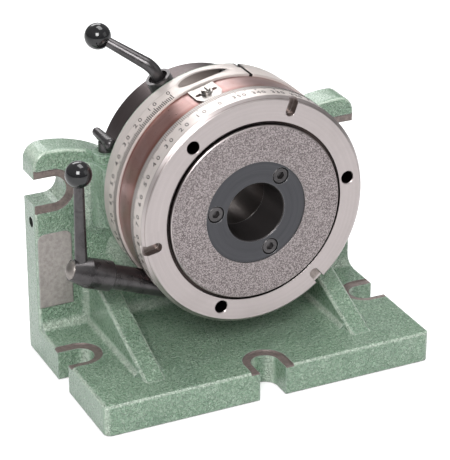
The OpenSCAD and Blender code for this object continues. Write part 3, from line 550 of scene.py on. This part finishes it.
def build_graduation_tree():
    """Lines on a cylinder round the spindle axis, one a degree, longer at every fifth and tenth."""
    tree = bpy.data.node_groups.new("graduation_lines", "GeometryNodeTree")
    sizes = {"Count": ("NodeSocketInt", 360), "Radius": (FLOAT, 0.0625), "Start Y": (FLOAT, 0.0),
             "Side": (FLOAT, 1.0), "Start Angle": (FLOAT, 0.0), "Short": (FLOAT, 0.0018),
             "Middle": (FLOAT, 0.0026), "Long": (FLOAT, 0.0034), "Width": (FLOAT, 0.00022),
             "Thickness": (FLOAT, 0.00012)}
    tree.interface.new_socket("Geometry", in_out="INPUT", socket_type="NodeSocketGeometry")
    for label, (kind, default) in sizes.items():
        tree.interface.new_socket(label, in_out="INPUT", socket_type=kind).default_value = default
    tree.interface.new_socket("Material", in_out="INPUT", socket_type="NodeSocketMaterial")
    tree.interface.new_socket("Geometry", in_out="OUTPUT", socket_type="NodeSocketGeometry")
    r = Recipe(tree)
    given = r.add("NodeGroupInput").outputs
    result = r.add("NodeGroupOutput")
    index = r.add("GeometryNodeInputIndex").outputs[0]
    angle = r.calc("MULTIPLY_ADD", index, math.radians(1), given["Start Angle"])
    place = r.add("ShaderNodeCombineXYZ", {
        "X": r.calc("MULTIPLY", r.calc("COSINE", angle), given["Radius"]),
        "Y": given["Start Y"],
        "Z": r.calc("MULTIPLY_ADD", r.calc("SINE", angle), given["Radius"], CENTRE_HEIGHT * MM)}).outputs[0]
    points = r.add("GeometryNodeMeshLine", {"Count": given["Count"], "Offset": (0.0, 0.0, 0.0)}).outputs["Mesh"]
    points = r.add("GeometryNodeSetPosition", {"Geometry": points, "Position": place}).outputs["Geometry"]
    bar = r.add("GeometryNodeMeshCube", {"Size": r.add("ShaderNodeCombineXYZ", {
        "X": given["Width"], "Y": 1.0, "Z": given["Thickness"]}).outputs[0]}).outputs["Mesh"]
    bar = r.add("GeometryNodeTransform", {"Geometry": bar, "Translation": r.add("ShaderNodeCombineXYZ", {
        "Y": r.calc("MULTIPLY", given["Side"], 0.5)}).outputs[0]}).outputs["Geometry"]

    def every(step, length, otherwise):
        rest = r.calc("MODULO", index, float(step))
        share = r.calc("LESS_THAN", rest, 0.5)
        extra = r.calc("SUBTRACT", length, otherwise)
        return r.calc("MULTIPLY_ADD", share, extra, otherwise)

    length = every(10, given["Long"], every(5, given["Middle"], given["Short"]))
    lean = r.add("ShaderNodeCombineXYZ", {"Y": r.calc("SUBTRACT", math.pi / 2, angle)}).outputs[0]
    stretch = r.add("ShaderNodeCombineXYZ", {"X": 1.0, "Y": length, "Z": 1.0}).outputs[0]
    lines = r.add("GeometryNodeInstanceOnPoints", {"Points": points, "Instance": bar, "Scale": stretch,
                                                   "Rotation": lean}).outputs["Instances"]
    lines = r.add("GeometryNodeRealizeInstances", {"Geometry": lines}).outputs["Geometry"]
    lines = r.add("GeometryNodeSetMaterial", {"Geometry": lines, "Material": given["Material"]}).outputs["Geometry"]
    r.feed(result.inputs["Geometry"], lines)
    return tree


def from_tree(name, tree, values):
    """Runs a geometry tree with these inputs and returns its result as a plain piece."""
    carrier = bpy.data.objects.new(name + "_carrier", bpy.data.meshes.new(name + "_carrier"))
    bpy.context.scene.collection.objects.link(carrier)
    modifier = carrier.modifiers.new("lines", "NODES")
    modifier.node_group = tree
    for item in tree.interface.items_tree:
        if item.in_out == "INPUT" and item.name in values:
            modifier[item.identifier] = values[item.name]
    graph = bpy.context.evaluated_depsgraph_get()
    mesh = bpy.data.meshes.new_from_object(carrier.evaluated_get(graph))
    mesh.name = name
    carrier.modifiers.remove(modifier)
    bpy.data.objects.remove(carrier)
    piece = bpy.data.objects.new(name, mesh)
    bpy.context.scene.collection.objects.link(piece)
    return piece


def dial_figures(name, radius, foot_depth, size, start_angle, span):
    """Every ten degrees its number, bent round the barrel with the figures' tops towards the back."""
    corners, faces = [], []
    for tens in range((span + 9) // 10):
        writing = bpy.data.curves.new("figure", "FONT")
        writing.body = str(tens * 10)
        writing.size = size
        writing.extrude = 0.00005
        writing.align_x = "CENTER"
        writing.space_character = 1.7 if tens < 10 else 1.2
        writing.resolution_u = 2
        holder = bpy.data.objects.new("figure", writing)
        bpy.context.scene.collection.objects.link(holder)
        graph = bpy.context.evaluated_depsgraph_get()
        flat = bpy.data.meshes.new_from_object(holder.evaluated_get(graph))
        first = len(corners)
        for corner in flat.vertices:
            across, up, out = corner.co
            angle = math.radians(start_angle + tens * 10) - across / radius
            reach = radius + out
            corners.append((reach * math.cos(angle), (FACE_Y + foot_depth) * MM + up,
                            CENTRE_HEIGHT * MM + reach * math.sin(angle)))
        faces += [[first + v for v in face.vertices] for face in flat.polygons]
        bpy.data.objects.remove(holder)
        bpy.data.curves.remove(writing)
        bpy.data.meshes.remove(flat)
    mesh = bpy.data.meshes.new(name)
    mesh.from_pydata(corners, [], faces)
    mesh.materials.append(FINISHES["scale_ink"])
    piece = bpy.data.objects.new(name, mesh)
    bpy.context.scene.collection.objects.link(piece)
    return piece


graduation_tree = build_graduation_tree()
SCALES = (
    # name, body, depth where the lines start, side that they run to, depth of the figures' feet,
    # angle of zero, number of lines
    ("flange", "spindle", FLANGE_BACK - 0.35, -1.0, 5.1, 105.7, 360),
    ("ring", "body", RING_FRONT + 0.25, 1.0, 39.6, 118.2, 181),
)
for name, body, start, side, figure_foot, zero_angle, count in SCALES:
    lines = from_tree(name + "_graduations", graduation_tree, {
        "Count": count, "Radius": FLANGE_RADIUS * MM, "Start Y": (FACE_Y + start) * MM, "Side": side,
        "Start Angle": math.radians(zero_angle), "Short": 0.0036, "Middle": 0.0044, "Long": 0.0052,
        "Width": 0.00048, "Thickness": 0.00014, "Material": FINISHES["scale_ink"]})
    figures = dial_figures(name + "_figures", (FLANGE_RADIUS + 0.02) * MM, figure_foot, 0.0046, zero_angle,
                           count)
    for piece in (lines, figures):
        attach(piece, body)


# Camera, floor and light

CAMERA_PLACE = (-0.4295, -0.8904, 0.5512)
CAMERA_AZIMUTH = math.radians(-25.63)
CAMERA_DROP = math.radians(25.80)
CAMERA_ROLL = math.radians(0.157)
FOCAL_PIXELS = 2086.0
LONG_SIDE_PIXELS = 460.0

camera_data = bpy.data.cameras.new("camera")
camera_data.sensor_width = 36.0
camera_data.lens = FOCAL_PIXELS * camera_data.sensor_width / LONG_SIDE_PIXELS
camera_data.clip_start = 0.05
camera_data.clip_end = 20.0
camera = bpy.data.objects.new("camera", camera_data)
bpy.context.scene.collection.objects.link(camera)
aim = Vector((-math.sin(CAMERA_AZIMUTH) * math.cos(CAMERA_DROP),
              math.cos(CAMERA_AZIMUTH) * math.cos(CAMERA_DROP), -math.sin(CAMERA_DROP)))
across = aim.cross(Vector((0, 0, 1))).normalized()
upward = across.cross(aim)
facing = Matrix((across, upward, -aim)).transposed().to_4x4()
camera.matrix_world = Matrix.Translation(CAMERA_PLACE) @ facing @ Matrix.Rotation(CAMERA_ROLL, 4, "Z")
bpy.context.scene.camera = camera


def floor_material():
    """Pale floor that reads as white in the picture and still takes the fixture's shadow."""
    material, r, shader = start_material("studio_floor", roughness=0.9)
    place = r.add("ShaderNodeTexCoord").outputs["Object"]
    shade = r.noise(place, 2.0, 2.0)
    r.feed(shader.inputs["Base Color"], r.blend(shade, (0.80, 0.80, 0.80, 1.0), (0.83, 0.83, 0.83, 1.0)))
    light = r.add("ShaderNodeLightPath")
    seen = r.either(light.outputs["Is Camera Ray"], light.outputs["Is Transmission Ray"])
    mirrored = r.calc("MULTIPLY", light.outputs["Is Glossy Ray"], 0.1)
    glow = r.spread(r.vector("LENGTH", place), 0.3, 1.6, 0.42, 0.8)
    shader.inputs["Emission Color"].default_value = (1.0, 1.0, 1.0, 1.0)
    r.feed(shader.inputs["Emission Strength"], r.calc("MULTIPLY_ADD", seen, glow, mirrored))
    return material


def flat_piece(name, corners):
    mesh = bpy.data.meshes.new(name)
    mesh.from_pydata(corners, [], [(0, 1, 2, 3)])
    piece = bpy.data.objects.new(name, mesh)
    bpy.context.scene.collection.objects.link(piece)
    return piece


FLOOR_HALF = 6.0
floor = flat_piece("studio_floor", [(-FLOOR_HALF, -FLOOR_HALF, -0.0005), (FLOOR_HALF, -FLOOR_HALF, -0.0005),
                                    (FLOOR_HALF, FLOOR_HALF, -0.0005), (-FLOOR_HALF, FLOOR_HALF, -0.0005)])
floor.data.materials.append(floor_material())

world = bpy.data.worlds.new("studio")
world.use_nodes = True
bpy.context.scene.world = world
world.node_tree.nodes.clear()
w = Recipe(world.node_tree)
path = w.add("ShaderNodeLightPath").outputs
seen_white = w.either(path["Is Camera Ray"], path["Is Transmission Ray"])
heading = w.add("ShaderNodeSeparateXYZ", {0: w.add("ShaderNodeTexCoord").outputs["Generated"]}).outputs["Z"]
sky = w.spread(heading, 0.0, 0.8, 0.22, 0.46)
soft = w.blend(path["Is Glossy Ray"], (0.42, 0.43, 0.44, 1.0),
               w.add("ShaderNodeCombineColor", {0: sky, 1: sky, 2: sky}).outputs[0])
air = w.blend(seen_white, soft, (1.0, 1.0, 1.0, 1.0))
background = w.add("ShaderNodeBackground", {"Color": air, "Strength": 1.0})
w.feed(w.add("ShaderNodeOutputWorld").inputs["Surface"], background.outputs[0])


def soft_box(name, place, target, width, height, watts):
    lamp = bpy.data.lights.new(name, "AREA")
    lamp.shape = "RECTANGLE"
    lamp.size = width
    lamp.size_y = height
    lamp.energy = watts
    holder = bpy.data.objects.new(name, lamp)
    bpy.context.scene.collection.objects.link(holder)
    holder.location = place
    direction = Vector(target) - Vector(place)
    holder.rotation_euler = direction.to_track_quat("-Z", "Y").to_euler()
    return holder


soft_box("key_light", (-0.58, -0.98, 0.98), (0, 0, 0.08), 0.6, 0.6, 16.0)
soft_box("fill_light", (1.0, -0.9, 0.7), (0, 0, 0.08), 0.8, 0.8, 1.4)
soft_box("back_light", (0.2, 1.1, 0.9), (0, 0, 0.1), 0.9, 0.5, 6.0)
soft_box("top_light", (0.25, 0.1, 1.3), (0, 0, 0.08), 0.8, 0.6, 7.0)

bpy.context.scene.view_settings.view_transform = "Standard"
